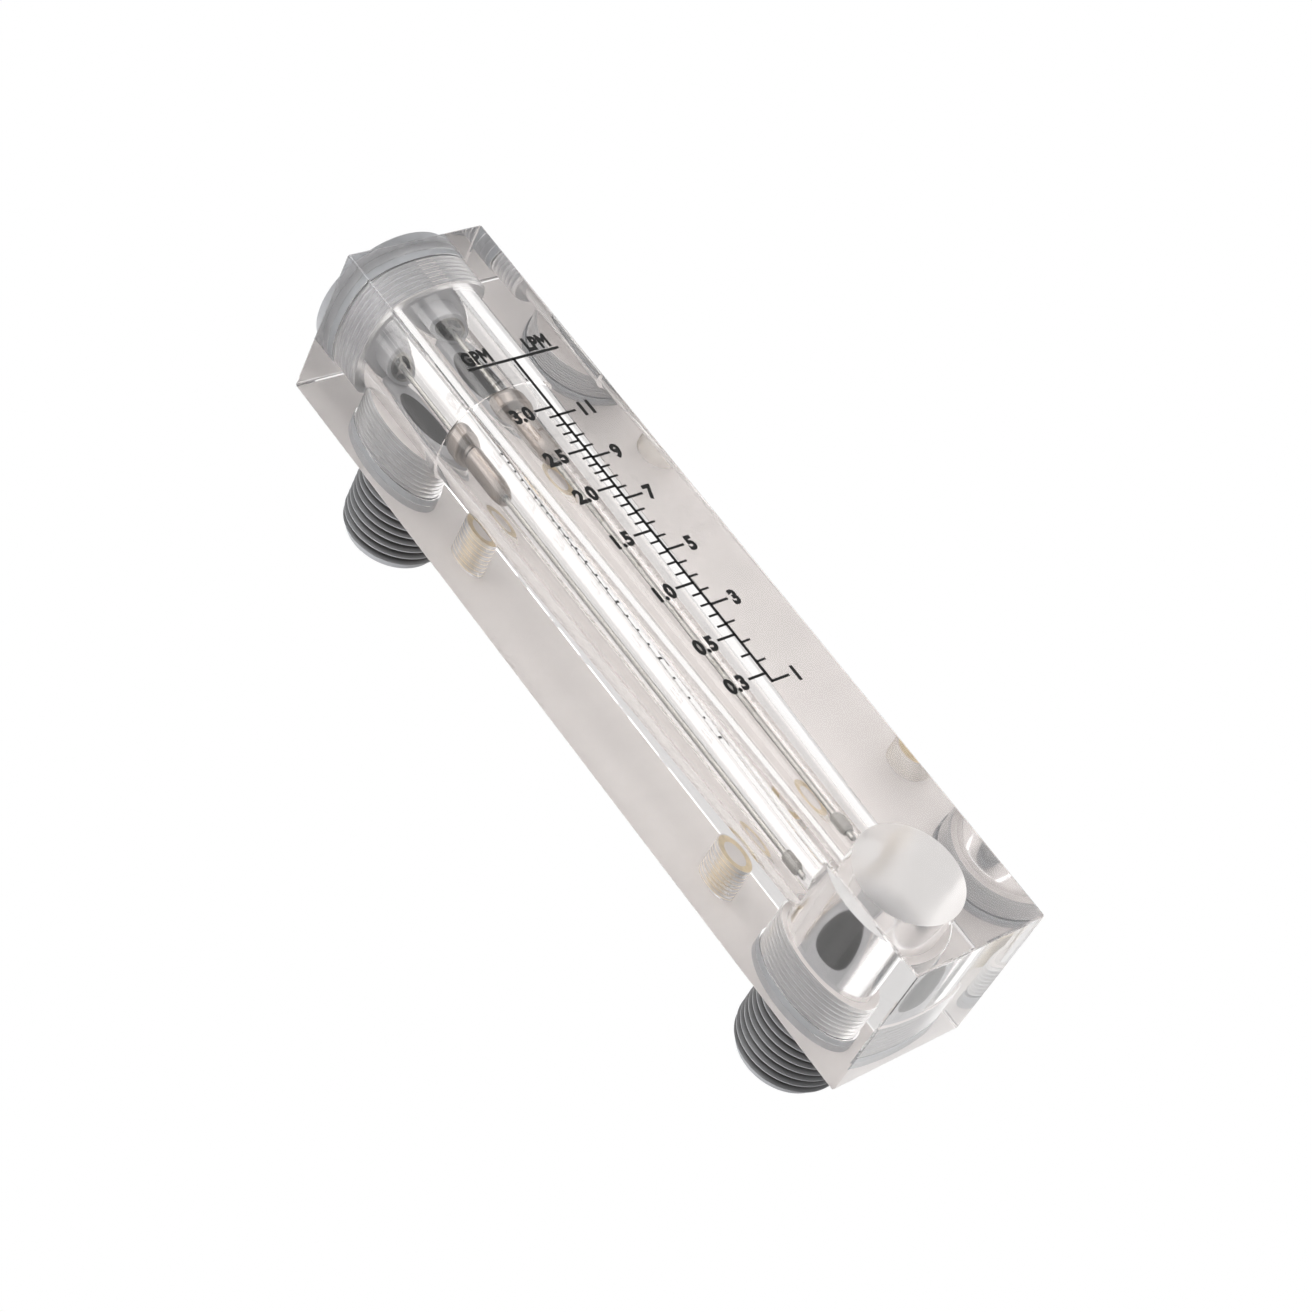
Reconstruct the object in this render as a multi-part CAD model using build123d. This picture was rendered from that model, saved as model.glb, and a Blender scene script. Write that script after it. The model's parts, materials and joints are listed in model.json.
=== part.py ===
from build123d import *
import os

# Rotameter: a clear acrylic block with a tapered measuring bore, a turned metal
# float on a guide rod, a screwed top plug and two pipe nozzles at the back.
# Millimetres. Origin: on the base face, under the axis of the measuring bore.
# +Z is up along the bore, -Y is the printed front face, +Y is the pipe side.

# Acrylic block
block_width = 30.5
block_depth = 33.2
block_height = 165.0
axis_from_front = 15.0
block_chamfer = 0.4

# The two ports in the back face, one above the other
lower_port_height = 17.3
upper_port_below_top = 22.7
lower_chamber_radius = 10.2
lower_chamber_front_wall = 5.5

# Measuring bore between the ports, and the wider chamber above it
taper_bottom_radius = 5.76
taper_top_radius = 8.98
taper_above_lower_port = 15.7
taper_below_upper_port = 11.8
upper_chamber_radius = 9.7

# One screw size for the top plug and for both nozzles
screw_radius = 11.8
nozzle_end_behind_axis = 6.6
plug_screw_length = 7.0
collar_radius = 12.2
collar_length = 3.2
screw_gap = 0.1
screw_end_relief = 0.2

# Sealing rings, each in a groove between a collar and its screw, drawn round and not yet squeezed
seal_section = 1.5
seal_clearance = 0.05

# Nozzles, with a male half-inch pipe thread whose turns are drawn as plain rings
nozzle_reach = 21.8
nozzle_neck_radius = 10.1
nozzle_neck_length = 2.9
pipe_thread_radius = 10.48
pipe_thread_pitch = 1.814
pipe_thread_depth = 1.16
pipe_thread_flat = 0.3
nozzle_tip_radius = 9.4
nozzle_tip_length = 1.5
nozzle_bore_radius = 7.0
nozzle_edge_chamfer = 0.5

# Top plug
plug_head_radius = 14.6
plug_head_height = 2.2
plug_head_chamfer = 0.3
plug_boss_radius = 6.2
plug_boss_length = 3.6
plug_cavity_radius = 3.7
plug_cavity_depth = 7.0
plug_slot_length = 20.0
plug_slot_width = 2.4
plug_slot_depth = 1.4

# Spider in the mouth of the plug, which carries the guide rod
spider_radius = 4.7
spider_thickness = 2.0
spider_hub_radius = 1.9
spider_spoke_width = 1.1
spider_spokes = 3
spider_fit = 0.05

# Guide rod with its stop bead
rod_radius = 1.0
rod_stub = 1.5
rod_over_spider = 0.6
rod_end_chamfer = 0.25
bead_radius = 2.2
bead_length = 3.8
bead_below_taper = 2.2
bead_rounding = 0.9
rod_fit = 0.02

# Float, drawn where the photograph shows it, near the top of its travel
float_tip_below_chamber = 12.9
float_tip_radius = 2.4
float_nose_length = 3.2
float_body_radius = 4.1
float_body_length = 6.6
float_neck_radius = 3.3
float_neck_length = 1.2
float_collar_radius = 5.9
float_collar_rise = 0.7
float_collar_thickness = 2.4
float_crown_radius = 2.6
float_crown_height = 1.5
float_nose_slope = 0.35
float_crown_slope = 0.5
float_bore_gap = 0.3
float_stop_gap = 0.3

# Brass inserts for the panel screws, pressed into the back face
insert_radius = 4.3
insert_length = 8.5
insert_screw_radius = 2.5
insert_pitch = 76.0
insert_fit = 0.05
insert_drill_relief = 0.5
insert_mouth_chamfer = 0.4

# How far a cut runs past the face that it opens
overcut = 1.0

# Places that follow from the sizes above
front_face = -axis_from_front
back_face = block_depth - axis_from_front
upper_port_height = block_height - upper_port_below_top
port_middle_height = (lower_port_height + upper_port_height) / 2
taper_bottom_height = lower_port_height + taper_above_lower_port
taper_top_height = upper_port_height - taper_below_upper_port
bead_height = taper_bottom_height - bead_below_taper
float_tip_height = taper_top_height - float_tip_below_chamber
screw_hole_radius = screw_radius + screw_gap
collar_hole_radius = collar_radius + screw_gap
plug_hole_depth = collar_length + plug_screw_length + screw_end_relief
nozzle_screw_length = back_face - collar_length - nozzle_end_behind_axis
plug_boss_end = block_height - collar_length - plug_screw_length - plug_boss_length
seal_centre_radius = collar_hole_radius - seal_clearance - seal_section / 2
seal_groove_radius = seal_centre_radius - seal_section / 2 - seal_clearance
seal_groove_width = seal_section + 2 * seal_clearance
insert_heights = {
    "lower_mount_insert": port_middle_height - insert_pitch / 2,
    "upper_mount_insert": port_middle_height + insert_pitch / 2,
}
port_heights = {"lower": lower_port_height, "upper": upper_port_height}


def turned(points):
    """Solid of revolution about Z from (radius, height) points."""
    outline = Polyline(*[(radius, 0, height) for radius, height in points], close=True)
    return revolve(make_face(outline), Axis.Z)


def drilled(radius, start, length):
    """Upright cylinder on the Z axis, from a start height upwards."""
    return Pos(0, 0, start) * Cylinder(radius, length, align=(Align.CENTER, Align.CENTER, Align.MIN))


def facing_back(shape, height):
    """Lay a shape drawn along Z into the back face: its Z=0 comes to the face, its +Z points outwards."""
    return Pos(0, back_face, height) * Rot(-90, 0, 0) * shape


def screw_socket(screw_length):
    """Hole for one screwed part, drawn below Z=0: collar seat, then screw hole."""
    seat = drilled(collar_hole_radius, -collar_length, collar_length + overcut)
    depth = collar_length + screw_length + screw_end_relief
    return seat + drilled(screw_hole_radius, -depth, depth)


def measuring_bore():
    """Tapered bore from the lower chamber up into the wider upper chamber."""
    return turned([
        (0, lower_port_height),
        (taper_bottom_radius, lower_port_height),
        (taper_bottom_radius, taper_bottom_height),
        (taper_top_radius, taper_top_height),
        (upper_chamber_radius, taper_top_height),
        (upper_chamber_radius, block_height - plug_hole_depth + overcut),
        (0, block_height - plug_hole_depth + overcut),
    ])


def make_body_block():
    """Acrylic block with its bores, sockets and insert holes."""
    block = Pos(0, (front_face + back_face) / 2, block_height / 2) * Box(block_width, block_depth, block_height)
    block = chamfer(block.edges(), block_chamfer)
    block -= measuring_bore()
    block -= Pos(0, 0, block_height) * screw_socket(plug_screw_length)
    for height in port_heights.values():
        block -= facing_back(screw_socket(nozzle_screw_length), height)
    chamber_length = block_depth - lower_chamber_front_wall
    block -= facing_back(drilled(lower_chamber_radius, -chamber_length, chamber_length), lower_port_height)
    insert_depth = insert_length + insert_drill_relief
    for height in insert_heights.values():
        block -= facing_back(drilled(insert_radius + insert_fit, -insert_depth, insert_depth + overcut), height)
    return block


def screw_outline(screw_length):
    """Outer outline of a screwed shank below Z=0, from its inner end up: screw, seal groove, collar."""
    end = -collar_length - screw_length
    groove_top = -collar_length + seal_groove_width
    return [
        (screw_radius, end),
        (screw_radius, -collar_length),
        (seal_groove_radius, -collar_length),
        (seal_groove_radius, groove_top),
        (collar_radius, groove_top),
        (collar_radius, 0),
    ]


def make_seal():
    """Round sealing ring in the groove under a collar that ends at Z=0."""
    return Pos(0, 0, -collar_length + seal_groove_width / 2) * Torus(seal_centre_radius, seal_section / 2)


def pipe_thread_outline(start, end):
    """Outline of the pipe thread's rings, as many as fit between two heights, upwards."""
    root = pipe_thread_radius - pipe_thread_depth
    flank = pipe_thread_pitch / 2 - pipe_thread_flat
    rings = int((end - start) / pipe_thread_pitch)
    first = (start + end + pipe_thread_flat - rings * pipe_thread_pitch) / 2
    points = [(root, start)]
    for ring in range(rings):
        foot = first + ring * pipe_thread_pitch
        points += [
            (root, foot),
            (pipe_thread_radius, foot + flank),
            (pipe_thread_radius, foot + flank + pipe_thread_flat),
            (root, foot + 2 * flank + pipe_thread_flat),
        ]
    return points


def make_nozzle():
    """Pipe nozzle along Z: screwed shank and collar below Z=0, neck, pipe thread and tip above."""
    end = -collar_length - nozzle_screw_length
    thread_end = nozzle_reach - nozzle_tip_length
    return turned([
        (nozzle_bore_radius, end),
        *screw_outline(nozzle_screw_length),
        (nozzle_neck_radius, 0),
        (nozzle_neck_radius, nozzle_neck_length),
        *pipe_thread_outline(nozzle_neck_length, thread_end),
        (pipe_thread_radius - pipe_thread_depth, thread_end),
        (nozzle_tip_radius, thread_end),
        (nozzle_tip_radius, nozzle_reach - nozzle_edge_chamfer),
        (nozzle_tip_radius - nozzle_edge_chamfer, nozzle_reach),
        (nozzle_bore_radius + nozzle_edge_chamfer, nozzle_reach),
        (nozzle_bore_radius, nozzle_reach - nozzle_edge_chamfer),
    ])


def make_top_plug():
    """Plug along Z with a slotted head above Z=0, and a boss with the spider's seat at its lower end."""
    end = -collar_length - plug_screw_length
    mouth = end - plug_boss_length
    seat = mouth + spider_thickness
    plug = turned([
        (spider_radius + spider_fit, mouth),
        (plug_boss_radius, mouth),
        (plug_boss_radius, end),
        *screw_outline(plug_screw_length),
        (plug_head_radius, 0),
        (plug_head_radius, plug_head_height - plug_head_chamfer),
        (plug_head_radius - plug_head_chamfer, plug_head_height),
        (0, plug_head_height),
        (0, seat + plug_cavity_depth),
        (plug_cavity_radius, seat + plug_cavity_depth),
        (plug_cavity_radius, seat),
        (spider_radius + spider_fit, seat),
    ])
    slot = extrude(SlotOverall(plug_slot_length, plug_slot_width), amount=plug_slot_depth + overcut)
    return plug - Pos(0, 0, plug_head_height - plug_slot_depth) * slot


def make_spider():
    """Flat ring with three spokes and a hub bored for the rod."""
    ring = Circle(spider_radius) - Circle(plug_cavity_radius)
    spoke = Pos((spider_hub_radius + plug_cavity_radius) / 2, 0) * Rectangle(plug_cavity_radius, spider_spoke_width)
    face = ring + Circle(spider_hub_radius) + PolarLocations(0, spider_spokes) * spoke
    face &= Circle(spider_radius)
    face -= Circle(rod_radius + rod_fit)
    return Pos(0, 0, plug_boss_end) * extrude(face, amount=spider_thickness)


def make_guide_rod():
    """Straight rod from below the bead to just above the spider."""
    bottom = bead_height - rod_stub
    top = plug_boss_end + spider_thickness + rod_over_spider
    return chamfer(drilled(rod_radius, bottom, top - bottom).edges(), rod_end_chamfer)


def make_bead():
    """Rounded stop bead pressed on the rod."""
    bead = drilled(bead_radius, bead_height, bead_length)
    bead = fillet(bead.edges(), bead_rounding)
    return bead - drilled(rod_radius + rod_fit, bead_height - overcut, bead_length + 2 * overcut)


def make_float():
    """Turned float with a rounded nose, a waist under its reading collar and a domed crown."""
    bore = rod_radius + float_bore_gap
    nose_top = float_tip_height + float_nose_length
    body_top = nose_top + float_body_length
    neck_top = body_top + float_neck_length
    collar_low = neck_top + float_collar_rise
    collar_top = collar_low + float_collar_thickness
    crown_top = collar_top + float_crown_height
    nose = Spline(
        (float_tip_radius, 0, float_tip_height),
        (float_body_radius, 0, nose_top),
        tangents=((1, 0, float_nose_slope), (0, 0, 1)),
    )
    flank = Polyline(
        (float_body_radius, 0, nose_top),
        (float_body_radius, 0, body_top),
        (float_neck_radius, 0, body_top + float_neck_length / 2),
        (float_neck_radius, 0, neck_top),
        (float_collar_radius, 0, collar_low),
        (float_collar_radius, 0, collar_top),
    )
    crown = Spline(
        (float_collar_radius, 0, collar_top),
        (float_crown_radius, 0, crown_top),
        tangents=((-1, 0, float_crown_slope), (-1, 0, 0)),
    )
    inside = Polyline(
        (float_crown_radius, 0, crown_top),
        (bore, 0, crown_top),
        (bore, 0, float_tip_height),
        (float_tip_radius, 0, float_tip_height),
    )
    return revolve(make_face(nose + flank + crown + inside), Axis.Z)


def make_insert():
    """Brass insert along Z, its mouth at Z=0, bored to the root of its screw thread."""
    sleeve = drilled(insert_radius, -insert_length, insert_length)
    sleeve -= drilled(insert_screw_radius, -insert_length - overcut, insert_length + 2 * overcut)
    mouth = sleeve.edges().filter_by(GeomType.CIRCLE).group_by(Axis.Z)[-1].sort_by(SortBy.RADIUS)[0]
    return chamfer(mouth, insert_mouth_chamfer)


def make_parts():
    """Every piece of the rotameter by name."""
    on_top = Pos(0, 0, block_height)
    parts = {
        "body_block": make_body_block(),
        "top_plug": on_top * make_top_plug(),
        "top_plug_seal": on_top * make_seal(),
        "rod_spider": make_spider(),
        "guide_rod": make_guide_rod(),
        "rod_stop_bead": make_bead(),
        "float": make_float(),
    }
    for side, height in port_heights.items():
        parts[f"{side}_nozzle"] = facing_back(make_nozzle(), height)
        parts[f"{side}_nozzle_seal"] = facing_back(make_seal(), height)
    for name, height in insert_heights.items():
        parts[name] = facing_back(make_insert(), height)
    return parts


float_crown_top = (
    float_tip_height + float_nose_length + float_body_length + float_neck_length
    + float_collar_rise + float_collar_thickness + float_crown_height
)
print("float travel down", round(float_tip_height - bead_height - bead_length - float_stop_gap, 3))
print("float travel up", round(plug_boss_end - float_crown_top - float_stop_gap, 3))

os.makedirs("parts", exist_ok=True)
for name, shape in make_parts().items():
    export_step(shape, f"parts/{name}.step")
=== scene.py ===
"""Looks of a rotameter: a clear acrylic panel flow meter with grey pipe nozzles and a steel float.

Every length written as a plain number is in millimetres. MM turns it into metres.
"""

import json
import math

import bmesh
import bpy
from mathutils import Matrix, Quaternion, Vector


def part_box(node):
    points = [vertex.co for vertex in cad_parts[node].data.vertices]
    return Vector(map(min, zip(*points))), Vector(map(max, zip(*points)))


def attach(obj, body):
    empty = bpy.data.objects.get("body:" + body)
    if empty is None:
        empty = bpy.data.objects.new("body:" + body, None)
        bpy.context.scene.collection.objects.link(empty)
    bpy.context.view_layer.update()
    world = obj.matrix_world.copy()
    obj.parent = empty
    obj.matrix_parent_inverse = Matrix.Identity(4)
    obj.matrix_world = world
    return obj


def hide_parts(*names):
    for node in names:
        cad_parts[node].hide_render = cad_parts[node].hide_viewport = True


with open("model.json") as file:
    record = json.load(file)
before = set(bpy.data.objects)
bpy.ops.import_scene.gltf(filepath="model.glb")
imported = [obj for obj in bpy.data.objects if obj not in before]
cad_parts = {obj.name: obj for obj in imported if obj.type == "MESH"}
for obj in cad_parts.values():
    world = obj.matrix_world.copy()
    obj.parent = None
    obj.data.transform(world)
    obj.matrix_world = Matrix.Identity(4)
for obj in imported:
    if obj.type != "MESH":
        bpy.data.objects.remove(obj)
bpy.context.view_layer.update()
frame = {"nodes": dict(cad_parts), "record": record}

bl_info = {
    "name": "Rotameter looks",
    "version": (1, 0, 0),
    "blender": (4, 5, 0),
    "location": "3D View > Sidebar > Rotameter",
    "description": "Models the block, nozzles, float and printed scale around the CAD frame",
    "category": "Object",
}

MM = 0.001
TURN = 2 * math.pi
UP = Vector((0, 0, 1))

# Steps in a full turn, and the angles of the steps in a rounded corner
SMOOTH_STEPS = 160
SMALL_STEPS = 64
ARC_STEPS = 8
ARC = [TURN / 4 * step / ARC_STEPS for step in range(1, ARC_STEPS + 1)]

# Sharper edges than this angle stay sharp. A face with this much normal along an axis faces it.
SHARP_ANGLE = math.radians(16)
FACING = 0.99

# Points this close merge, touching faces are kept a hair apart, and cutting tools stick out
MERGE = 0.0002
HAIR = 0.02
OVERCUT = 1.0

# Vee threads, as shares of their pitch
CREST_FLAT = 0.1
ROOT_FLAT = 0.22
CREST_START = (1 + ROOT_FLAT - CREST_FLAT) / 2

# Materials
ACRYLIC_INDEX = 1.49
ABS_INDEX = 1.54
RAMP_LOW = 0.3
RAMP_HIGH = 0.7
POLISHED, TAPPED, MILLED, BORED = range(4)
# Index of the nozzle material with painted shade in the thread grooves and the passage
GROOVE_SHADED = 1


def cad_box(node):
    """Lowest and highest corner of a CAD node, in millimetres."""
    low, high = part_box(node)
    return low / MM, high / MM


def cad_height(node):
    """Height of a CAD node's middle, in millimetres."""
    low, high = cad_box(node)
    return (low.z + high.z) / 2


# The block and what shows where the other pieces are
BLOCK_LOW, BLOCK_HIGH = cad_box("body_block")
BACK = BLOCK_HIGH.y
FRONT = BLOCK_LOW.y
TOP = BLOCK_HIGH.z
BLOCK_EDGE = 0.4
INK_PROUD = 0.01
NOZZLE_LOW, NOZZLE_HIGH = cad_box("lower_nozzle")
PORT_HEIGHTS = {side: cad_height(f"{side}_nozzle") for side in ("lower", "upper")}

# Measuring bore and chambers
BORE_LOW_RADIUS = 5.76
BORE_HIGH_RADIUS = 8.98
BORE_LOW_HEIGHT = PORT_HEIGHTS["lower"] + 15.7
BORE_HIGH_HEIGHT = PORT_HEIGHTS["upper"] - 11.8
UPPER_CHAMBER_RADIUS = 9.7
UPPER_CHAMBER_OVERLAP = 0.8
LOWER_CHAMBER_RADIUS = 10.2
LOWER_CHAMBER_WALL = 5.5

# Collar and fine screw, the same on plug and nozzles. No air shows between collar and acrylic.
COLLAR_RADIUS = 12.2
COLLAR_LENGTH = 3.2
COLLAR_BITE = 0.02
SCREW_RADIUS = 11.8
SCREW_GAP = 0.06
SCREW_RELIEF = 0.1
TAP_DEEPER = 0.2
TAP_OVERLAP = 0.5
SEAL_WIDTH = 1.6
SEAL_INNER_RADIUS = 10.65
SEAL_CLEARANCE = 0.05
SEAL_ROUNDING = 0.08

# Nozzles. Painted shade is full at one depth under the pipe thread's crests and fades out at
# another, nearer the crests.
NOZZLE_END = NOZZLE_LOW.y - BACK
NOZZLE_REACH = NOZZLE_HIGH.y - BACK
NOZZLE_BORE_RADIUS = 7.0
NOZZLE_NECK_RADIUS = 10.1
NOZZLE_NECK_LENGTH = 2.9
NOZZLE_NECK_CONE = 0.5
NOZZLE_TIP_RADIUS = 9.3
NOZZLE_TIP_LENGTH = 1.5
NOZZLE_TIP_CONE = 0.2
NOZZLE_CHAMFER = 0.5
PIPE_RADIUS = frame["record"]["mounts"][0]["dims"]["r_mm"]
SHADE_FULL_DEPTH = 0.75
SHADE_START_DEPTH = 0.05

# Top plug and spider
PLUG_LOW, PLUG_HIGH = cad_box("top_plug")
PLUG_HEAD_RADIUS = PLUG_HIGH.x
PLUG_HEAD_HEIGHT = PLUG_HIGH.z - TOP
PLUG_HEAD_BEVEL = 0.3
PLUG_EDGE = 0.2
PLUG_SCREW_LENGTH = 7.0
PLUG_SCREW_END = -COLLAR_LENGTH - PLUG_SCREW_LENGTH
PLUG_MOUTH = PLUG_LOW.z - TOP
PLUG_BOSS_RADIUS = 6.2
PLUG_CAVITY_RADIUS = 3.7
PLUG_CAVITY_DEPTH = 7.0
SLOT_LENGTH = 20.0
SLOT_WIDTH = 2.4
SLOT_DEPTH = 1.4
SPIDER_SEAT_RADIUS = 4.75
SPIDER_THICKNESS = 2.0

# Rod, bead and float
ROD_LOW, ROD_HIGH = cad_box("guide_rod")
ROD_BEVEL = 0.25
BEAD_LOW, BEAD_HIGH = cad_box("rod_stop_bead")
BEAD_ROUNDING = 0.9
FLOAT_LOW, FLOAT_HIGH = cad_box("float")
FLOAT_GAP = 0.3

# Panel screw inserts
INSERTS = ("lower_mount_insert", "upper_mount_insert")
INSERT_LOW, INSERT_HIGH = cad_box(INSERTS[0])
INSERT_RADIUS = INSERT_HIGH.x
INSERT_LENGTH = INSERT_HIGH.y - INSERT_LOW.y
INSERT_PITCH = 1.0
INSERT_RIDGE = 0.35
INSERT_SCREW_RADIUS = 3.0
INSERT_SCREW_ROOT = 2.5
INSERT_MOUTH_DEPTH = 0.5
INSERT_MOUTH_RISE = 0.3
PRESS = 0.02

# Printed scale, read off the front face: label and height of each numbered mark
SCALE_LINE_X = 0.33
SCALE_TOP = 134.07
HEADER_LEFT = -9.93
HEADER_RIGHT = 10.76
LEFT_MARKS = (
    ("3.0", 122.1), ("2.5", 111.7), ("2.0", 102.8), ("1.5", 92.1), ("1.0", 79.8), ("0.5", 67.8),
    ("0.3", 59.0))
RIGHT_MARKS = (
    ("11", 120.1), ("9", 109.7), ("7", 99.75), ("5", 87.5), ("3", 74.75), ("1", 57.2))
LEFT_STEP = 0.1
RIGHT_STEP = 0.5
MARK_LENGTH = 4.0
SMALL_MARK_LENGTH = 2.1
LABEL_GAP = 0.6
INK_THICKNESS = 0.02
LETTER_CAP_SHARE = 0.73
LETTER_GROWTH = 0.24
LETTER_SPACING = 1.08
LETTER_WIDTH = 0.84
UNITS = (("GPM", -6.5), ("LPM", 7.1))
UNIT_LIFT = 0.85
UNIT_WIDTH = 0.7

# Camera, floor and lamps: the lamps by place, size and power
CAMERA_PLACE = Vector((-328.4, -357.0, -114.8))
CAMERA_AIM = Vector((-3.0, 0.0, 77.0))
CAMERA_ROLL = -38.2
CAMERA_LENS = 83.5
CAMERA_NEAR = 10.0
FLOOR_SIZE = 4000.0
FLOOR_GAP = 0.03
FLOOR_GREY = 0.4
LAMPS = {
    "left_softbox": ((-680, 300, -20), 420, 11.0),
    "top_softbox": ((-80, 160, 760), 560, 1.8),
    "right_softbox": ((420, -560, 420), 460, 3.4),
}

# Walls that glass and metal see, and two soft patches on them. RIM and HEART are the cosines of
# the angles from a patch's direction where it begins and where it is full.
LIGHTING_GREY = 0.12
STUDIO_WHITE = 1.05
CARD_DIRECTION = (0.62, 0.70, 0.36)
CARD_RIM = 0.82
CARD_HEART = 0.98
CARD_GREY = 0.74
PANE_DIRECTION = (-0.42, -0.80, 0.43)
PANE_RIM = 0.84
PANE_HEART = 0.92
PANE_WHITE = 3.7


class RotameterSizes(bpy.types.PropertyGroup):
    """Sizes that a user would change."""

    pipe_pitch: bpy.props.FloatProperty(
        name="Pipe thread pitch", description="Rise of the half-inch pipe thread in one turn",
        default=1.814 * MM, unit="LENGTH", precision=6)
    pipe_depth: bpy.props.FloatProperty(
        name="Pipe thread depth", description="Depth of the pipe thread from crest to root",
        default=1.12 * MM, unit="LENGTH", precision=6)
    screw_pitch: bpy.props.FloatProperty(
        name="Fine screw pitch", description="Rise of the fine screw in one turn",
        default=1.05 * MM, unit="LENGTH", precision=6)
    screw_depth: bpy.props.FloatProperty(
        name="Fine screw depth", description="Depth of the fine screw from crest to root",
        default=0.55 * MM, unit="LENGTH", precision=6)
    heavy_line: bpy.props.FloatProperty(
        name="Heavy line", description="Width of the printed header and upright lines",
        default=0.6 * MM, unit="LENGTH", precision=6)
    light_line: bpy.props.FloatProperty(
        name="Light line", description="Width of the printed small division marks",
        default=0.46 * MM, unit="LENGTH", precision=6)
    digit_height: bpy.props.FloatProperty(
        name="Digit height", description="Height of the printed numbers",
        default=3.0 * MM, unit="LENGTH", precision=6)


class RotameterColours(bpy.types.PropertyGroup):
    """Colours that a user would change, as hex values."""

    acrylic: bpy.props.StringProperty(
        name="Acrylic", description="Tint of the clear cast acrylic", default="#FAF8F7")
    milled_back: bpy.props.StringProperty(
        name="Milled back", description="Frosted back face of the block", default="#F8F2EF")
    grey_abs: bpy.props.StringProperty(
        name="Grey ABS", description="Moulded plastic of nozzles and plug", default="#ADAEB1")
    # Colour of the painted shade deep in the pipe thread's grooves and in the nozzle passage
    groove_shade: bpy.props.StringProperty(
        name="Groove shade", description="Pipe thread down in its grooves", default="#4C4A4A")
    silicone: bpy.props.StringProperty(
        name="Silicone", description="Sealing rings", default="#A9ACB0")
    steel: bpy.props.StringProperty(
        name="Stainless steel", description="Guide rod and spider", default="#8A8884")
    float_steel: bpy.props.StringProperty(
        name="Float steel", description="Turned float", default="#8E8680")
    acetal: bpy.props.StringProperty(
        name="Acetal", description="Stop bead", default="#8C8984")
    brass: bpy.props.StringProperty(
        name="Brass", description="Panel screw inserts", default="#D8C8AA")
    ink: bpy.props.StringProperty(
        name="Ink", description="Printed scale", default="#050505")


def linear(hex_colour):
    """Linear RGBA of an sRGB hex colour."""
    parts = [int(hex_colour[i:i + 2], 16) / 255 for i in (1, 3, 5)]
    return [p / 12.92 if p <= 0.04045 else ((p + 0.055) / 1.055) ** 2.4 for p in parts] + [1.0]


def add_node(tree, kind, inputs=None, links=None, **settings):
    """Adds a node with its settings and input values, and links (node, output) pairs into it."""
    made = tree.nodes.new(kind)
    for name, value in settings.items():
        setattr(made, name, value)
    for name, value in (inputs or {}).items():
        made.inputs[name].default_value = value
    for name, (source, output) in (links or {}).items():
        tree.links.new(source.outputs[output], made.inputs[name])
    return made


def new_material(name):
    """Empty node material and its tree."""
    material = bpy.data.materials.new(name)
    material.use_nodes = True
    material.node_tree.nodes.clear()
    return material, material.node_tree


def finished(material, shader):
    """Links a shader to the material's output."""
    tree = material.node_tree
    add_node(tree, "ShaderNodeOutputMaterial", links={"Surface": (shader, 0)})
    return material


def surfaced(material, inputs, links):
    """Finishes a material with one Principled shader."""
    tree = material.node_tree
    return finished(material, add_node(tree, "ShaderNodeBsdfPrincipled", inputs, links))


def grain(tree, size, detail=2.0, stretch=(1, 1, 1)):
    """Noise in object space with grains of about size millimetres, longer where stretch is low."""
    place = add_node(tree, "ShaderNodeTexCoord")
    mapped = add_node(tree, "ShaderNodeMapping", {"Scale": stretch}, {"Vector": (place, "Object")})
    return add_node(
        tree, "ShaderNodeTexNoise", {"Scale": 1 / (size * MM), "Detail": detail},
        {"Vector": (mapped, 0)})


def shaded(tree, noise, colour, spread):
    """Colour that wanders a little with a noise: spread is the share it gains or loses."""
    dark = [c * (1 - spread) for c in colour[:3]] + [1.0]
    light = [min(1.0, c * (1 + spread)) for c in colour[:3]] + [1.0]
    ramp = add_node(tree, "ShaderNodeValToRGB", links={"Fac": (noise, "Fac")})
    low, high = ramp.color_ramp.elements
    low.position, high.position = RAMP_LOW, RAMP_HIGH
    low.color, high.color = dark, light
    return ramp


def bumped(tree, noise, strength, depth):
    """Bump of a given depth in millimetres."""
    return add_node(
        tree, "ShaderNodeBump", {"Strength": strength, "Distance": depth * MM},
        {"Height": (noise, "Fac")})


def clear_acrylic(material, colours, marks, roughness, transmission):
    """Finishes a material as clear cast acrylic with the marks of a tool."""
    return surfaced(
        material,
        {"Base Color": linear(colours.acrylic), "Roughness": roughness, "IOR": ACRYLIC_INDEX,
         "Transmission Weight": transmission},
        {"Normal": (marks, 0)})


def make_polished_acrylic(colours):
    """Cast acrylic, sawn and flame polished: clear, with a hardly visible swell in its faces."""
    material, tree = new_material("polished_cast_acrylic")
    swell = bumped(tree, grain(tree, size=9.0, detail=1.0), strength=0.05, depth=0.02)
    return clear_acrylic(material, colours, swell, roughness=0.0, transmission=1.0)


def make_cut_acrylic(colours):
    """Acrylic cut by a tap: fine tool marks scatter the light, so the turns look frosted."""
    material, tree = new_material("tapped_acrylic")
    marks = bumped(tree, grain(tree, size=0.35), strength=0.4, depth=0.03)
    return clear_acrylic(material, colours, marks, roughness=0.25, transmission=0.7)


def make_bored_acrylic(colours):
    """Acrylic bored by a cutter: still clear, but what is seen through it has soft edges."""
    material, tree = new_material("bored_acrylic")
    rings = bumped(tree, grain(tree, size=0.8, detail=1.0), strength=0.1, depth=0.02)
    return clear_acrylic(material, colours, rings, roughness=0.12, transmission=1.0)


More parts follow.
